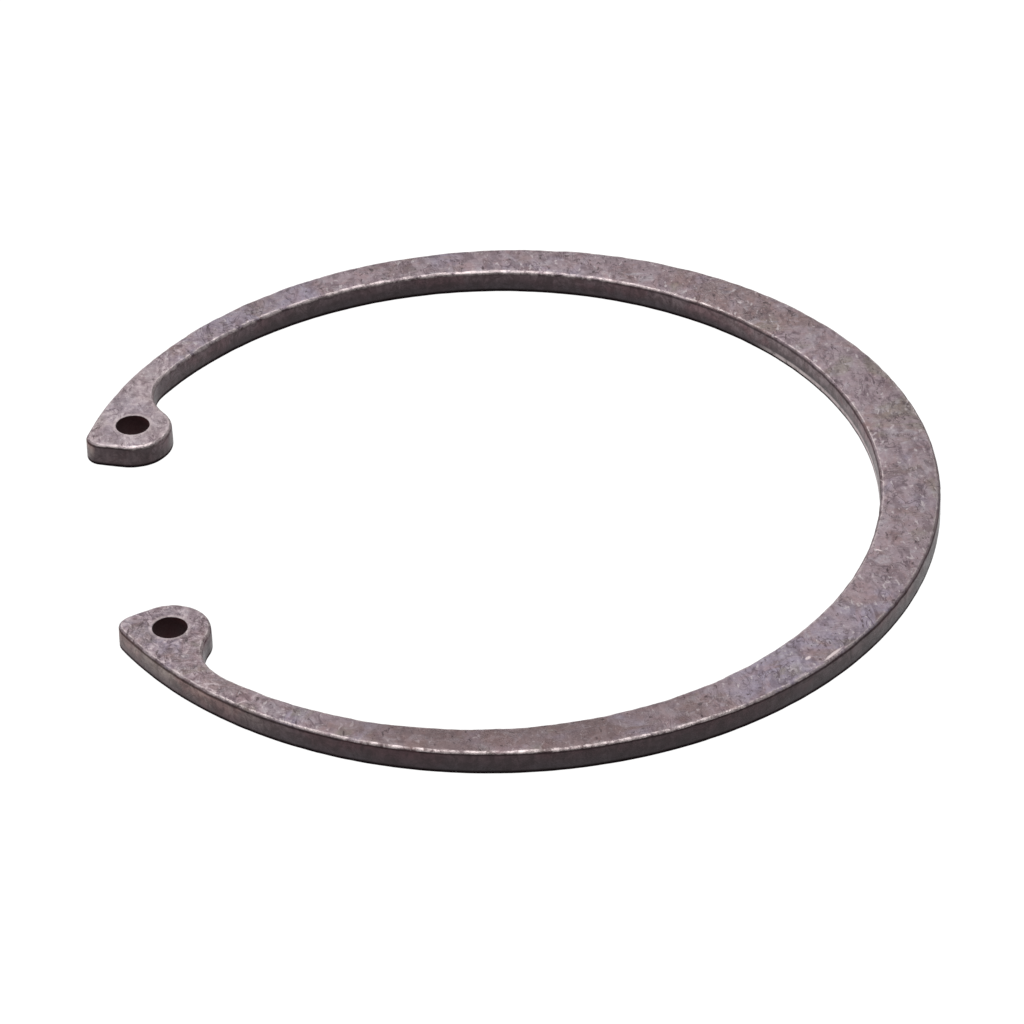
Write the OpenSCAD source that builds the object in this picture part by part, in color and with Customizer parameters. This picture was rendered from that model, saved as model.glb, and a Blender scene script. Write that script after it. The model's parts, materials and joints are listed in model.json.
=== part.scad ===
// Internal retaining ring: one piece stamped from spring steel strip, to be squeezed into a groove in a
// 62 mm bore. It lies flat on z = 0 with its centre on the Z axis and its gap towards -X, and the XZ
// plane divides it into two mirrored halves.

/* [Ring] */
// Outside diameter of the ring when free, before it is squeezed into its bore
free_d = 66.2; // [56:0.1:80]
// Thickness of the steel strip
thickness = 2; // [1.2:0.1:3]
// Width opposite the gap, where the ring is widest
back_w = 4.6; // [3.6:0.1:7]
// Width that the ring would taper to at the gap if it had no lugs
tip_w = 1.9; // [1.5:0.1:3]

/* [Lugs] */
// Angle at the ring's centre from the middle of the gap to each plier hole
lug_angle = 26.4; // [20:0.2:40]
// Diameter of the plier holes
hole_d = 2.6; // [1.5:0.1:3.2]
// Distance from the ring's outer edge to the middle of each plier hole
hole_inset = 3.1; // [2.6:0.1:5]
// Radius of each lug's round nose, struck from the middle of its hole
nose_r = 3.05; // [2.6:0.05:4]
// Radius of the hollow that blends each lug into the ring's inner edge
root_r = 4.1; // [2:0.1:8]
// Radius of the slight crown on each lug's end face
crown_r = 40; // [20:1:80]
// Angle that each end face leans towards the gap at the hole, off the ring's radius
end_lean = 7; // [0:0.5:15]
// Radius of the corner between each end face and the ring's outer edge
corner_r = 1.3; // [0.9:0.05:2]

/* [Edges] */
// Rounding of the upper face's edges, which the punch rolled over
top_edge_r = 0.35; // [0.1:0.05:0.5]
// Rounding of the lower face's edges, where the burr was tumbled off
bottom_edge_r = 0.2; // [0.1:0.05:0.5]

/* [Hidden] */
$fn = 96;
overshoot = 1; // cuts run on this far past the faces

// The outer edge is centred on the origin. The inner edge is moved towards the gap, which tapers the ring.
outer_r = free_d / 2;
inner_r = outer_r - (back_w + tip_w) / 2;
inner_c = [(tip_w - back_w) / 2, 0];

// Middles of the +Y lug's hole and arcs, and the angles at which its arcs meet
hole_at = 180 - lug_angle;
hole_c = (outer_r - hole_inset) * dir(hole_at);
end_at = hole_at + 90 + end_lean;
crown_c = hole_c + (nose_r - crown_r) * dir(end_at);
corner_c = meet(crown_c, crown_r - corner_r, [0, 0], outer_r - corner_r);
root_c = meet(inner_c, inner_r - root_r, hole_c, nose_r + root_r);
corner_at = bearing([0, 0], corner_c);
crown_at = bearing(crown_c, corner_c);
neck_at = bearing(hole_c, root_c);
root_at = bearing(inner_c, root_c);

// The outline's +Y half, from the middle of the outer edge round the lug to the middle of the inner edge.
// Each arc is [middle, radius, first angle, last angle, side], counterclockwise, and side is 1 where the
// metal is inside the arc and -1 where it is outside.
half_outline = [
    [[0, 0], outer_r, 0, corner_at, 1],
    [corner_c, corner_r, corner_at, after(crown_at, corner_at), 1],
    [crown_c, crown_r, crown_at, after(end_at, crown_at), 1],
    [hole_c, nose_r, end_at, after(neck_at, end_at), 1],
    [root_c, root_r, root_at, after(neck_at + 180, root_at), -1],
    [inner_c, inner_r, 0, root_at, -1]
];

// A flat core fills the middle of the outline, and a rim with rounded edges runs along each arc. The rims
// are narrower than the narrowest metal, and the core reaches half way across the flat part of each rim.
edge_r = max(top_edge_r, bottom_edge_r);
narrowest = min(tip_w, corner_r, hole_inset - hole_d / 2, nose_r - hole_d / 2);
rim_w = (edge_r + narrowest) / 2;
joint_w = (rim_w + narrowest) / 2;
core_inset = (edge_r + rim_w) / 2;
core_sag = (rim_w - core_inset) / 2;

// Unit vector at an angle
function dir(angle) = [cos(angle), sin(angle)];

// Direction from one point to another
function bearing(from, to) = atan2(to[1] - from[1], to[0] - from[0]);

// The same direction as angle, written as the first one after start
function after(angle, start) = angle + 360 * ceil((start - angle) / 360);

// The point r1 from c1 and r2 from c2, on the right-hand side when looking from c1 to c2
function meet(c1, r1, c2, r2) =
    let (d = norm(c2 - c1), along = (d * d + r1 * r1 - r2 * r2) / (2 * d))
    c1 + r1 * dir(bearing(c1, c2) - acos(along / r1));

// Points along an arc's core side, close enough together for each chord to stay within the rim's width
function core_points(arc) =
    let (r = arc[1] - arc[4] * core_inset, sweep = arc[3] - arc[2])
    let (n = ceil(sweep / 2 / acos(1 - core_sag / r)))
    [for (i = arc[4] > 0 ? [0:n] : [n:-1:0]) arc[0] + r * dir(arc[2] + sweep * i / n)];

// Outline of the area between the two ends of an arc, with the same corners as its neighbours at each end
function arc_area(arc) =
    let (near = arc[1] - joint_w, far = arc[1] + joint_w)
    let (sweep = arc[3] - arc[2], n = ceil(sweep / 60))
    concat(
        [arc[0] + near * dir(arc[2]), arc[0] + far * dir(arc[2])],
        [for (i = [0:n]) arc[0] + far / cos(30) * dir(arc[2] + sweep * i / n)],
        [arc[0] + far * dir(arc[3]), arc[0] + near * dir(arc[3])]
    );

// Moves to a point in a round step and a small one, which keeps more of its decimals
module place(point) {
    round_step = [for (v = point) round(100 * v) / 100];
    translate(round_step) translate(point - round_step) children();
}

// Quarter-round edge between a face along X and a wall along Y, with the flat that carries it
module rounded_edge(r) {
    translate([-rim_w, 0]) square([rim_w - r, r]);
    intersection() {
        translate([-r, r]) circle(r);
        translate([-r, 0]) square(r);
    }
}

// Section of the rim, with the metal on -X of the wall
module rim_section() {
    translate([-rim_w, bottom_edge_r]) square([rim_w, thickness - bottom_edge_r - top_edge_r]);
    rounded_edge(bottom_edge_r);
    translate([0, thickness]) mirror([0, 1]) rounded_edge(top_edge_r);
}

// Full turn of the rim at a radius, with the metal inside it (side 1) or outside it (side -1)
module rim_circle(middle, r, side) {
    place(middle) rotate_extrude() translate([r, 0]) mirror([side > 0 ? 0 : 1, 0]) rim_section();
}

module rim(arc) {
    intersection() {
        rim_circle(arc[0], arc[1], arc[4]);
        translate([0, 0, -overshoot]) linear_extrude(thickness + 2 * overshoot) polygon(arc_area(arc));
    }
}

module core() {
    difference() {
        linear_extrude(thickness) polygon([for (arc = half_outline) each core_points(arc)]);
        translate([hole_c[0], hole_c[1], -overshoot])
            cylinder(r = hole_d / 2 + core_inset, h = thickness + 2 * overshoot);
    }
}

module half_ring() {
    core();
    for (arc = half_outline) rim(arc);
    rim_circle(hole_c, hole_d / 2, -1);
}

module retaining_ring() {
    color("dimgray") {
        half_ring();
        mirror([0, 1, 0]) half_ring();
    }
}

retaining_ring();
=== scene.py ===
import cmath
import json
import math

import bmesh
import bpy
from mathutils import Matrix, Vector, noise


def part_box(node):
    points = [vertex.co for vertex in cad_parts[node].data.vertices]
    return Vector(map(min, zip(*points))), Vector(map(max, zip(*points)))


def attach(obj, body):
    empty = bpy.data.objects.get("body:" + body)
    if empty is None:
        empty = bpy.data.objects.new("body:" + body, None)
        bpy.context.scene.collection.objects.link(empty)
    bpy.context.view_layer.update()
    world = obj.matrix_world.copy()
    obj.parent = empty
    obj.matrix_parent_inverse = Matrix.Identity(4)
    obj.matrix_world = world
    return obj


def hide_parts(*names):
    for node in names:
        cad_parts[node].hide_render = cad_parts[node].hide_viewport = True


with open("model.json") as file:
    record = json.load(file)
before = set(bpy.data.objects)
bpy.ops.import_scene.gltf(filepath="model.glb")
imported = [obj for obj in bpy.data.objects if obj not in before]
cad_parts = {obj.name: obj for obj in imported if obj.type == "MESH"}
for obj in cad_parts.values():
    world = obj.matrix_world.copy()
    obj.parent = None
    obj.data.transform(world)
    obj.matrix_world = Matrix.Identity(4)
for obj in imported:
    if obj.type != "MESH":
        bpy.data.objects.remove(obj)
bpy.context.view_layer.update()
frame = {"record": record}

scene = bpy.context.scene
mm = 0.001


# Camera: a long lens, low in front of the ring, with the gap on its left. Its place was worked out from the
# outline of the ring in the photograph.
LENS = 193.0
NEAREST, FURTHEST = 0.01, 20
AZIMUTH, ELEVATION, ROLL = math.radians(-8.09), math.radians(35.42), math.radians(-1.745)
AWAY = Vector((0.62, -0.51, 417.5)) * mm

camera = bpy.data.objects.new("camera", bpy.data.cameras.new("camera"))
camera.data.lens = LENS
camera.data.clip_start, camera.data.clip_end = NEAREST, FURTHEST
camera.matrix_world = (
    Matrix.Rotation(AZIMUTH, 4, "Z")
    @ Matrix.Rotation(math.pi / 2 - ELEVATION, 4, "X")
    @ Matrix.Rotation(ROLL, 4, "Z")
    @ Matrix.Translation(AWAY)
)
scene.collection.objects.link(camera)
scene.camera = camera


# Retaining ring: one piece of spring steel strip, stamped to outline, so its walls are square to its
# faces. The punch rolled over the edges of the upper face, tumbling took the burr off the lower ones, and
# a phosphate bath left the whole of it dark.
BACK_W, TIP_W = 4.6 * mm, 1.9 * mm
NOSE_R, ROOT_R, CROWN_R, CORNER_R = 3.05 * mm, 4.1 * mm, 40 * mm, 1.3 * mm
END_LEAN = math.radians(7)
TOP_EDGE_R, BOTTOM_EDGE_R = 0.35 * mm, 0.2 * mm
HOLE_EDGE_R = 0.06 * mm  # the plier holes are pierced clean, so their edges are almost sharp
FLAT_W = 0.45 * mm       # strip of the face beside each rounded edge; two have to fit between hole and nose
DROOP = 0.05 * mm        # how far the punch dragged the upper edges down, across that strip
STEP = 0.25 * mm         # length of the mesh's faces along the outline
EDGE_STEPS, WALL_STEPS, HOLE_STEPS = 7, 6, 72
LEAST_STEPS = 8          # along the shortest arc of the outline
SAME_PLACE, SAME_LEVEL = 0.001 * mm, 0.01 * mm
DENT_W, DENT_DEPTH = 1.3 * mm, 0.045 * mm
FINER = 2.7              # how much smaller the second set of dents is, which is half as deep
DENTED = 0.35            # raises the dents, so that they take up more than half of the edge
LOW_DENTS = 0.35         # depth of the lower edges' dents beside the upper ones'
HOLE_RIM = 0.1           # how the rims of the plier holes are marked, where their walls have 1
LIGHT_MARKS = (                # light marks on the upper face: from, to and width, in mm; the first is a painted glint on the near rim, the third a scratch
    ((19.2, -26.5), (21.1, -24.9), 0.3),
    ((18.0, -26.1), (18.5, -25.7), 0.35),
    ((28.0, -3.7), (28.4, -5.7), 0.1),
    ((25.8, -13.6), (26.4, -14.1), 0.16),
)

mounts = {mount["name"]: mount for mount in frame["record"]["mounts"]}
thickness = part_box("retaining_ring")[1].z
outer_r = mounts["groove_rim"]["dims"]["r_mm"] * mm
hole_r = mounts["plier_hole_plus_y"]["dims"]["r_mm"] * mm
hole = complex(*mounts["plier_hole_plus_y"]["pos_m"][:2])
inner_r = outer_r - (BACK_W + TIP_W) / 2
inner = complex((TIP_W - BACK_W) / 2)


def meet(c1, r1, c2, r2):
    """The point r1 from c1 and r2 from c2, on the right-hand side when looking from c1 to c2."""
    apart = abs(c2 - c1)
    along = (apart * apart + r1 * r1 - r2 * r2) / (2 * apart)
    return c1 + cmath.rect(r1, cmath.phase(c2 - c1) - math.acos(along / r1))


end_at = cmath.phase(hole) + math.pi / 2 + END_LEAN
crown = hole + cmath.rect(NOSE_R - CROWN_R, end_at)
corner = meet(crown, CROWN_R - CORNER_R, 0j, outer_r - CORNER_R)
root = meet(inner, inner_r - ROOT_R, hole, NOSE_R + ROOT_R)


def turn(middle, start, end):
    """The counterclockwise angle about middle from one point to another."""
    return (cmath.phase(end - middle) - cmath.phase(start - middle)) % math.tau


def edge_section(bm, at, metal, top_r, bottom_r):
    """The rim's section from the lower face to the upper, at a point of its wall.

    The metal is on the +X side of the wall where metal is 1, and on its -X side where it is -1. The
    section is marked as open to wear up to its two ends, which lie on the faces.
    """

    def draw(tip, x, z, wear=1.0):
        new = bmesh.ops.extrude_vert_indiv(bm, verts=[tip])["verts"][0]
        new.co += Vector((x, 0, z))
        new[worn] = wear
        return new

    def round_off(tip, radius, z):
        centre = (at.real + metal * radius, at.imag, z)
        arc = bmesh.ops.spin(bm, geom=[tip], cent=centre, axis=(0, metal, 0), angle=math.pi / 2,
                             steps=EDGE_STEPS)
        return arc["geom_last"][0]

    low_end = (at.real + metal * (bottom_r + FLAT_W), at.imag, 0)
    tip = bmesh.ops.create_vert(bm, co=low_end)["vert"][0]
    tip = draw(tip, -metal * FLAT_W, 0)
    tip = round_off(tip, bottom_r, bottom_r)
    for _ in range(WALL_STEPS):
        tip = draw(tip, 0, (thickness - top_r - bottom_r) / WALL_STEPS)
    tip = round_off(tip, top_r, thickness - top_r)
    draw(tip, metal * FLAT_W, 0, wear=0.0)


def sweep(bm, geom, middle, radius, angle):
    """Carries the section on along one arc of the outline, and gives its last place."""
    steps = max(LEAST_STEPS, round(abs(angle) * radius / STEP))
    return bmesh.ops.spin(bm, geom=geom, cent=(middle.real, middle.imag, 0), axis=(0, 0, 1), angle=angle,
                          steps=steps)["geom_last"]


bm = bmesh.new()
bore = bm.verts.layers.float.new("bore")
worn = bm.verts.layers.float.new("worn")

# the outline's +Y half, arc by arc, from the middle of its outer edge round the lug to the middle of its
# inner edge
edge_section(bm, complex(outer_r), -1, TOP_EDGE_R, BOTTOM_EDGE_R)
rim = bm.verts[:] + bm.edges[:]
rim = sweep(bm, rim, 0j, outer_r, cmath.phase(corner))
rim = sweep(bm, rim, corner, CORNER_R, turn(0j, corner, corner - crown))
rim = sweep(bm, rim, crown, CROWN_R, turn(0j, corner - crown, hole - crown))
rim = sweep(bm, rim, hole, NOSE_R, turn(hole, 2 * hole - crown, root))
rim = sweep(bm, rim, root, ROOT_R, -turn(root, root * 2 - inner, hole))
sweep(bm, rim, inner, inner_r, -cmath.phase(root - inner))

outline = set(bm.verts)
edge_section(bm, hole + hole_r, 1, HOLE_EDGE_R, HOLE_EDGE_R)
rim = [v for v in bm.verts if v not in outline]
rim += [e for e in bm.edges if e.verts[0] not in outline]
bmesh.ops.spin(bm, geom=rim, cent=(hole.real, hole.imag, 0), axis=(0, 0, 1), angle=math.tau,
               steps=HOLE_STEPS, use_merge=True)
for v in bm.verts:
    if v not in outline and v[worn]:
        v[bore] = 1 if v.co.z < thickness - HOLE_EDGE_R * 0.9 else HOLE_RIM

bmesh.ops.mirror(bm, geom=bm.verts[:] + bm.edges[:] + bm.faces[:], axis="Y", merge_dist=SAME_PLACE)
bmesh.ops.remove_doubles(bm, verts=bm.verts, dist=SAME_PLACE)
for z in (0, thickness):
    brink = [e for e in bm.edges if e.is_boundary and all(abs(v.co.z - z) < SAME_LEVEL for v in e.verts)]
    bmesh.ops.triangle_fill(bm, edges=brink, use_beauty=True, normal=(0, 0, 1))
bmesh.ops.recalc_face_normals(bm, faces=bm.faces)

# the punch and the tumbling leave the outline's edges a little uneven, most of all the rolled upper ones
bm.normal_update()
for v, inward in [(v, -v.normal) for v in bm.verts if v[worn] and not v[bore]]:
    rolled = min(1, max(0, (v.co.z - thickness / 2) / (thickness / 2 - TOP_EDGE_R)))
    dents = noise.noise(v.co / DENT_W) + 0.5 * noise.noise(v.co / DENT_W * FINER)
    v.co += inward * DENT_DEPTH * (LOW_DENTS + (1 - LOW_DENTS) * rolled) * max(0, DENTED + dents)
    v.co.z -= DROOP * rolled

mesh = bpy.data.meshes.new("stamped_ring")
bm.to_mesh(mesh)
bm.free()
mesh.polygons.foreach_set("use_smooth", [True] * len(mesh.polygons))
ring = bpy.data.objects.new("stamped_ring", mesh)
scene.collection.objects.link(ring)
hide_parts("retaining_ring")
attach(ring, "root")

steel = bpy.data.materials.new("phosphated_steel")
steel.use_nodes = True
tree = steel.node_tree
surface = tree.nodes["Principled BSDF"]

# the bath's skin on the faces, the punched walls, and what lies on both, with painted shade for edges, foot
# and bores
MAUVE, LILAC = (0.155, 0.119, 0.133), (0.157, 0.136, 0.172)
RUSSET, OLIVE = (0.122, 0.086, 0.088), (0.12, 0.104, 0.088)
ASH, LUG_ASH, FAR_LUG = (0.2, 0.183, 0.2), (0.34, 0.29, 0.3), (0.3, 0.255, 0.26)
LIGHT_SPECK, SCRATCH = (0.3, 0.27, 0.275), (0.32, 0.29, 0.29)
CUT_LOW, CUT_HIGH, CUT_PALE_END = (0.024, 0.02, 0.024), (0.045, 0.026, 0.03), (0.12, 0.086, 0.096)
CUT_INNER, CUT_GAP = (0.08, 0.058, 0.065), (0.055, 0.04, 0.043)
CUT_SIDE_LIT, CUT_LUG_LIT = (0.135, 0.105, 0.11), (0.18, 0.147, 0.132)
# painted shade for the walls' edges and foot, painted shade for the bores, and bare steel, also used for
# painted highlights
SHADE_BLACK, BORE_SHADE, BARE_AND_GLINT = (0.012, 0.008, 0.009), (0.0165, 0.002, 0.003), (0.36, 0.31, 0.31)

# what a mark leaves of the colour under it
PAINTED_FRONT_SHADE, WARM_SHADE, LUG_SHADE = (0.68, 0.65, 0.65), (1, 0.91, 0.88), (0.55, 0.5, 0.51)
BLOTCH_SHADE, GRAIN_SHADE = (0.66, 0.62, 0.64), (0.8, 0.78, 0.79)
STROKE_SHADE, SPECK_SHADE = (0.42, 0.36, 0.4), (0.3, 0.24, 0.25)
CUT_STAIN, CUT_MOTTLE = (1, 0.8, 0.82), (0.55, 0.5, 0.5)
CUT_STREAK, CUT_GRAIN = (0.72, 0.68, 0.7), (0.82, 0.8, 0.81)

# patches on the upper face: x, y and reach, in mm
LILAC_PATCHES = (-18, 26, 13), (17, -26, 10)
BROWN_PATCHES = (-3, -31, 15), (22, 20, 9)
OLIVE_PATCH, FAR_LUG_PATCH = (31, 4, 15), (-27, 15, 11)
SMOOTH_PATCH, SHADED_PATCH = (-3, -31, 22), (-3, -31, 18)

# the breadth of the marks, and the length and width of the scratches
PATCH_W, STAIN_W, OLIVE_W, WARM_W, ASH_W = 7 * mm, 4 * mm, 5 * mm, 2.2 * mm, 1.7 * mm
MOTTLE_W, BLOTCH_W, RUB_W, STREAK_W = 1.1 * mm, 0.9 * mm, 0.7 * mm, 0.45 * mm
SPECK_W, GRAIN_W, GRAIN_DEPTH = 0.36 * mm, 0.26 * mm, 0.03 * mm
STROKES_W, STROKES_LONG = (1.1 * mm, 1.6 * mm), (1.9 * mm, 2.6 * mm)
SCRATCHES_LONG, SCRATCHES_W = (2.2 * mm, 1.6 * mm, 1.8 * mm), (0.12 * mm, 0.1 * mm, 0.11 * mm)

# where a change of tone starts and where it is complete: along the ring, up its walls and, for INWARDS, by
# place times normal, which is below zero where the metal faces the ring's axis
LUGS_X, GAP_END_X, RIGHT_X = (-18 * mm, -25 * mm), (-8 * mm, -21 * mm), (0, 6 * mm)
FOOT_Z, WALL_Z, INWARDS = (0.45 * mm, 0.2 * mm), (0.15 * thickness, 0.85 * thickness), (-2 * mm, -6 * mm)
LOW_LINE_X, LOW_LINE_Z, LOW_LINE_TOP = (22.5 * mm, 25 * mm), (0.2 * mm, 0.35 * mm), (0.7 * mm, 0.5 * mm)


def node(kind, inputs, **settings):
    """A new node in the steel's material, with its settings made and its inputs linked or set."""
    made = tree.nodes.new("ShaderNode" + kind)
    for name, value in settings.items():
        setattr(made, name, value)
    for key, value in inputs.items():
        if isinstance(value, bpy.types.NodeSocket):
            tree.links.new(value, made.inputs[key])
        else:
            made.inputs[key].default_value = value
    return made


def cloud(size, detail=3.0, roughness=0.55, distortion=0.0, stretch=(1, 1, 1), turned=0.0, shift=0.0):
    """Noise from 0 to 1 with blotches of about that size, stretched along the turned axes."""
    laid = node("Mapping", {"Vector": place, "Location": (shift,) * 3, "Rotation": (0, 0, turned),
                            "Scale": [1 / (size * s) for s in stretch]})
    return node("TexNoise", {"Vector": laid.outputs[0], "Scale": 1.0, "Detail": detail,
                             "Roughness": roughness, "Distortion": distortion}).outputs["Fac"]


def ease(value, low, high, start=0.0, end=1.0):
    """From start where value is below low to end where it is above high."""
    return node("MapRange", {"Value": value, "From Min": low, "From Max": high, "To Min": start,
                             "To Max": end}, interpolation_type="SMOOTHSTEP").outputs["Result"]


def math_of(operation, *values):
    """What a Math node with that operation makes of the values."""
    return node("Math", dict(enumerate(values)), operation=operation).outputs[0]


def both(mask, *others):
    """The masks multiplied, which is one only where each of them is."""
    for other in others:
        mask = math_of("MULTIPLY", mask, other)
    return mask


def either(mask, *others):
    """The highest of the masks."""
    for other in others:
        mask = math_of("MAXIMUM", mask, other)
    return mask


def raised(value, mask, height):
    """The value, raised by that height where the mask is one."""
    return math_of("MULTIPLY_ADD", mask, height, value)


def paint(under, over, amount, blend_type="MIX"):
    """One colour over another, by that amount."""
    colours = [c if isinstance(c, bpy.types.NodeSocket) else (*c, 1) for c in (under, over)]
    mixed = node("Mix", {0: amount, 6: colours[0], 7: colours[1]}, data_type="RGBA", blend_type=blend_type)
    return mixed.outputs[2]


def shade(under, left, amount):
    """A colour darkened to what the mark leaves of it, by that amount."""
    return paint(under, left, amount, "MULTIPLY")


def broken_lines(pattern, breadth, length, shift):
    """Thin lines where the pattern is one half, broken off where a noise of that length is low."""
    off_line = math_of("ABSOLUTE", math_of("SUBTRACT", pattern, 0.5))
    return both(ease(off_line, 0, breadth, 1, 0), ease(cloud(length, 1.0, shift=shift), 0.5, 0.62))


def scratches(turned, length, width, shift):
    """Straight broken scratches, the way that they are turned."""
    lines = cloud(width, 1.0, 0.5, 0.3, stretch=(length / width, 1, 1), turned=turned, shift=shift)
    return broken_lines(lines, 0.03, length, shift + 7)


def spot(x, y, reach):
    """One in the middle of a soft round patch, and nothing past its reach."""
    away = node("VectorMath", {0: place, 1: (x * mm, y * mm, thickness)}, operation="DISTANCE")
    return ease(away.outputs["Value"], reach * mm, 0.35 * reach * mm)


def light_mark(start, end, width):
    """One along a short light mark in the upper face, from start to end in millimetres."""
    middle = [(a + b) / 2 * mm for a, b in zip(start, end)]
    heading = math.atan2(end[1] - start[1], end[0] - start[0])
    laid = node("Mapping", {"Vector": place, "Location": (*middle, thickness), "Rotation": (0, 0, heading),
                            "Scale": (math.dist(start, end) / 2 * mm, width / 2 * mm, TOP_EDGE_R)},
                vector_type="TEXTURE")
    return ease(node("VectorMath", {0: laid.outputs[0]}, operation="LENGTH").outputs["Value"], 1.1, 0.5)


place = node("TexCoord", {}).outputs["Object"]
facing = node("TexCoord", {}).outputs["Normal"]
at_x, _, at_z = node("SeparateXYZ", {0: place}).outputs
facing_x, _, facing_z = node("SeparateXYZ", {0: facing}).outputs
flat = math_of("ABSOLUTE", facing_z)
outwards = node("VectorMath", {0: place, 1: facing}, operation="DOT_PRODUCT").outputs["Value"]
inner_side = ease(outwards, *INWARDS)
at_lugs = ease(at_x, *LUGS_X)
in_bore = node("Attribute", {}, attribute_name="bore").outputs["Fac"]
edge = node("Attribute", {}, attribute_name="worn").outputs["Fac"]

patches = cloud(PATCH_W, 3, 0.6, 0.6)
stains = cloud(STAIN_W, 4, 0.6, 1.0, shift=11)
mottle = cloud(MOTTLE_W, 4, 0.7, 1.5, shift=101)
blotches = cloud(BLOTCH_W, 4, 0.62, 0.8, stretch=(1, 1.9, 1), turned=0.35, shift=23)
grain = cloud(GRAIN_W, 3, 0.65, stretch=(1, 1.7, 1), turned=0.35, shift=5)
specks = cloud(SPECK_W, 2, 0.5, 0.4, stretch=(1, 1.9, 1), turned=-0.3, shift=31)
light_lines = either(
    scratches(0.5, SCRATCHES_LONG[0], SCRATCHES_W[0], 3),
    scratches(-0.9, SCRATCHES_LONG[1], SCRATCHES_W[1], 13),
    scratches(1.9, SCRATCHES_LONG[2], SCRATCHES_W[2], 17),
)
fine_bends = cloud(STROKES_W[0], 2, 0.5, 1.2, stretch=(1, 1.9, 1), turned=-0.5, shift=71)
wide_bends = cloud(STROKES_W[1], 3, 0.55, 0.9, stretch=(1, 1.7, 1), turned=0.8, shift=89)
strokes = either(
    broken_lines(fine_bends, 0.04, STROKES_LONG[0], 73),
    broken_lines(wide_bends, 0.032, STROKES_LONG[1], 97),
)

# the bath took differently from place to place: lilac, brown and olive patches, more mottled at the lugs,
# and etched all over, but least in the middle of the front, where the face is also darkened as painted
# shade
etched = ease(spot(*SMOOTH_PATCH), 0, 1, 1, 0.45)
lilac = raised(patches, either(*[spot(*patch) for patch in LILAC_PATCHES]), 0.13)
brown = raised(stains, either(*[spot(*patch) for patch in BROWN_PATCHES]), 0.16)
olive = raised(cloud(OLIVE_W, 3, 0.6, 0.8, shift=61), spot(*OLIVE_PATCH), 0.1)
skin = paint(MAUVE, LILAC, ease(lilac, 0.5, 0.66))
skin = paint(skin, RUSSET, ease(brown, 0.52, 0.68))
skin = paint(skin, OLIVE, both(ease(olive, 0.56, 0.7), 0.8))
# painted shade: the face darkened in the middle of the front
skin = shade(skin, PAINTED_FRONT_SHADE, ease(spot(*SHADED_PATCH), 0, 0.8))
skin = paint(skin, ASH, both(ease(cloud(ASH_W, 3, 0.55, 1.0, shift=107), 0.54, 0.66, 0, 0.55), etched))
skin = shade(skin, WARM_SHADE, ease(cloud(WARM_W, 4, 0.65, 1.2, shift=83), 0.48, 0.62))
skin = shade(skin, LUG_SHADE, both(ease(mottle, 0.46, 0.36), at_lugs))
skin = paint(skin, LUG_ASH, both(ease(mottle, 0.48, 0.64, 0, 0.75), at_lugs))
skin = paint(skin, FAR_LUG, both(spot(*FAR_LUG_PATCH), 0.4))
skin = shade(skin, BLOTCH_SHADE, both(ease(blotches, 0.54, 0.4), etched))
skin = shade(skin, GRAIN_SHADE, both(ease(grain, 0.6, 0.4), etched))
skin = shade(skin, STROKE_SHADE, both(strokes, etched))
skin = shade(skin, SPECK_SHADE, ease(specks, 0.35, 0.28))
skin = paint(skin, LIGHT_SPECK, both(ease(specks, 0.62, 0.72, 0, 0.6), etched))
skin = paint(skin, SCRATCH, both(etched, 0.35, light_lines))

# the walls are darker than the faces, with upright marks from the punch. Painted shade makes them darkest
# at their foot and along their rounded edges, and lighter towards the top; they are paler towards the gap,
# lighter at the top where they face inwards, and lit by painted light at the top where they face sideways;
# sideways is the way of the gap and, in the right half, also the other way
on_wall = both(ease(flat, 0.8, 0.5), ease(in_bore, 0.16, 0.12))
low_to_high = ease(at_z, *WALL_Z)
right_half = ease(at_x, *RIGHT_X)
gap_end = ease(at_x, *GAP_END_X)
sideways = either(ease(facing_x, -0.3, -0.6), both(ease(facing_x, 0.35, 0.6), right_half))
lit_side_on = either(ease(facing_x, -0.5, -0.85), both(ease(facing_x, 0.45, 0.85), right_half))
streaks = cloud(STREAK_W, 3, 0.55, 0.3, stretch=(1, 1, 5), shift=41)
# painted shade: darker towards the foot, lighter towards the top
cut = paint(CUT_LOW, CUT_HIGH, low_to_high)
cut = paint(cut, CUT_INNER, both(inner_side, ease(low_to_high, 0.3, 1, 0, 0.7)))
cut = paint(cut, CUT_GAP, at_lugs)
# paler at the top towards the gap, where the wall faces +X
cut = paint(cut, CUT_PALE_END, both(gap_end, low_to_high, ease(facing_x, 0.2, 0.6)))
# painted light: lighter at the top where the wall faces sideways, most at the lugs
cut = paint(cut, paint(CUT_SIDE_LIT, CUT_LUG_LIT, at_lugs), both(lit_side_on, low_to_high))
cut = shade(cut, CUT_STAIN, ease(stains, 0.45, 0.6))
cut = shade(cut, CUT_MOTTLE, ease(mottle, 0.56, 0.42))
cut = shade(cut, CUT_STREAK, ease(streaks, 0.6, 0.38))
cut = shade(cut, CUT_GRAIN, ease(grain, 0.6, 0.4))
# painted shade: dark rounded edges, most at the bottom and where they face sideways, and a dark foot
shaded_edges = both(on_wall, ease(flat, 0.08, 0.3),
                  either(ease(low_to_high, 0.3, 0.8, 1, 0.4), both(sideways, 0.5)))
shaded_foot = both(on_wall, ease(at_z, *FOOT_Z))
painted_shade = either(shaded_edges, shaded_foot)
skin = paint(skin, paint(cut, SHADE_BLACK, painted_shade), on_wall)

# the roll of the upper edge is rubbed down to bare steel, further down on its inner side, though where it
# faces sideways it is mostly left dark as painted shade; the rims of the holes and the face beside its
# edges are rubbed bare here and there; a bare line along the foot of the inner wall at the end opposite the
# gap is a painted highlight, and the first of the light marks is a painted glint
rub = cloud(RUB_W, 5, 0.75, shift=53)
inner_roll = both(inner_side, ease(facing_z, 0.12, 0.4, 0, 0.6))
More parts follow.
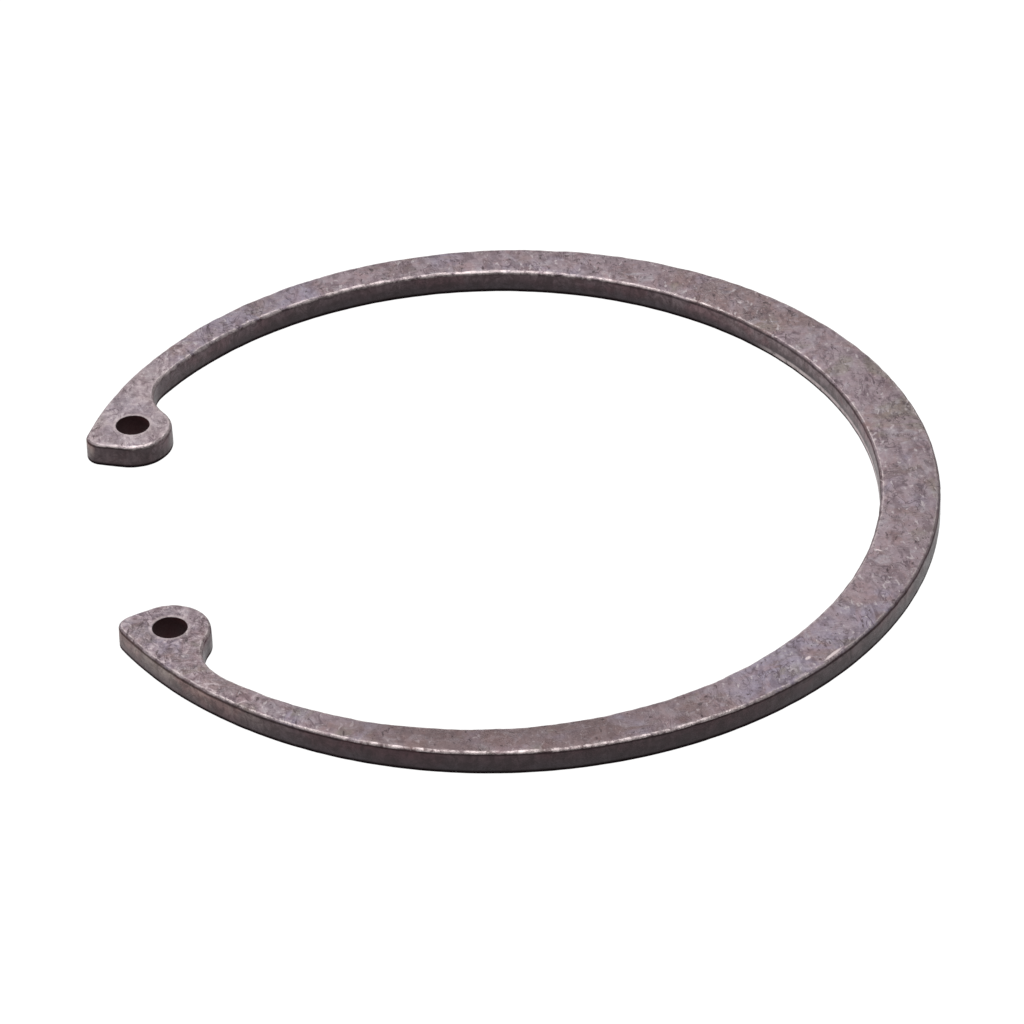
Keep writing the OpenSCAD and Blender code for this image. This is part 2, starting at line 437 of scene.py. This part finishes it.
# painted shade: the bare edge mostly left out where it faces sideways
roll = both(either(ease(facing_z, 0.42, 0.6), inner_roll), ease(flat, 0.995, 0.96),
            ease(sideways, 0, 0.7, 1, 0.1))
# painted highlight: a bright line along the lower edge of the inner wall at the right-hand end
low_highlight = both(ease(at_z, *LOW_LINE_TOP), ease(at_z, *LOW_LINE_Z), ease(at_x, *LOW_LINE_X),
               ease(facing_x, -0.5, -0.7))
beside = both(ease(raised(rub, edge, 0.25), 0.74, 0.9), ease(flat, 0.8, 0.95, 0, 0.4))
hole_rim = both(ease(in_bore, 0.03, 0.09), ease(rub, 0.3, 0.6, 0.25, 0.6))
bare_and_glint = either(both(roll, ease(rub, 0.36, 0.64)), both(beside, etched), both(low_highlight, ease(rub, 0.3, 0.5)),
              hole_rim, *[light_mark(start, end, width) for start, end, width in LIGHT_MARKS])
bare_and_glint = both(bare_and_glint, ease(in_bore, 0.4, 0.1))
skin = paint(skin, BARE_AND_GLINT, both(bare_and_glint, 0.9))
# painted shade: the bores darkened almost to black
skin = paint(skin, BORE_SHADE, in_bore)
tree.links.new(skin, surface.inputs["Base Color"])

metallic = either(raised(ease(on_wall, 0, 1, 0.3, 0), bare_and_glint, 0.5), painted_shade)
tree.links.new(both(metallic, ease(in_bore, 0.5, 0)), surface.inputs["Metallic"])
rough = math_of("SUBTRACT", ease(blotches, 0.3, 0.7, 0.48, 0.36), both(bare_and_glint, 0.04))
rough = raised(raised(rough, painted_shade, 0.5), in_bore, 0.4)
tree.links.new(rough, surface.inputs["Roughness"])
surface.inputs["Specular Tint"].default_value = (1, 0.84, 0.88, 1)
surface.inputs["Specular IOR Level"].default_value = 0.33

relief = math_of("SUBTRACT", raised(blotches, grain, 0.4), both(either(light_lines, strokes), 0.4))
bump = node("Bump", {"Height": relief, "Strength": 0.5, "Distance": GRAIN_DEPTH})
tree.links.new(bump.outputs[0], surface.inputs["Normal"])
mesh.materials.append(steel)


# Floor: a plain white sheet under the ring, which isn't part of it. It glows evenly, until it is as white
# as the photograph's background.
FLOOR_W = 4.0
SHEET_GREY = 0.05

floor_mesh = bpy.data.meshes.new("floor")
bm = bmesh.new()
bmesh.ops.create_grid(bm, x_segments=1, y_segments=1, size=FLOOR_W / 2)
bm.to_mesh(floor_mesh)
bm.free()
floor = bpy.data.objects.new("floor", floor_mesh)
scene.collection.objects.link(floor)

paper = bpy.data.materials.new("paper")
paper.use_nodes = True
sheet = paper.node_tree.nodes["Principled BSDF"]
sheet.inputs["Base Color"].default_value = (SHEET_GREY, SHEET_GREY, SHEET_GREY, 1)
sheet.inputs["Roughness"].default_value = 1
sheet.inputs["Specular IOR Level"].default_value = 0
sheet.inputs["Emission Color"].default_value = (1, 1, 1, 1)
sheet.inputs["Emission Strength"].default_value = 1
floor_mesh.materials.append(paper)


# Light: one soft box overhead, one behind the ring and a low one on its left, in a dim grey room. The low
# one is kept out of reflections, because it would glare off the face when seen from the right.
ROOM_GREY = (0.05, 0.05, 0.052, 1)


def soft_box(name, stands, size, watts):
    """A rectangular lamp that shines from where it stands on the middle of the ring."""
    light = bpy.data.lights.new(name, "AREA")
    light.shape = "RECTANGLE"
    light.size, light.size_y = size
    light.energy = watts
    lamp = bpy.data.objects.new(name, light)
    lamp.location = stands
    lamp.rotation_euler = (-Vector(stands)).to_track_quat("-Z", "Y").to_euler()
    scene.collection.objects.link(lamp)
    return lamp


soft_box("overhead", (0, 0, 0.6), (0.5, 0.9), 7.4)
soft_box("behind", (0, 0.9, 0.6), (1.2, 0.5), 5)
left = soft_box("left", (-0.95, 0, 0.15), (0.5, 0.3), 8)
left.visible_glossy = False

room = bpy.data.worlds.new("room")
room.use_nodes = True
room.node_tree.nodes["Background"].inputs["Color"].default_value = ROOM_GREY
scene.world = room
scene.view_settings.view_transform = "Standard"
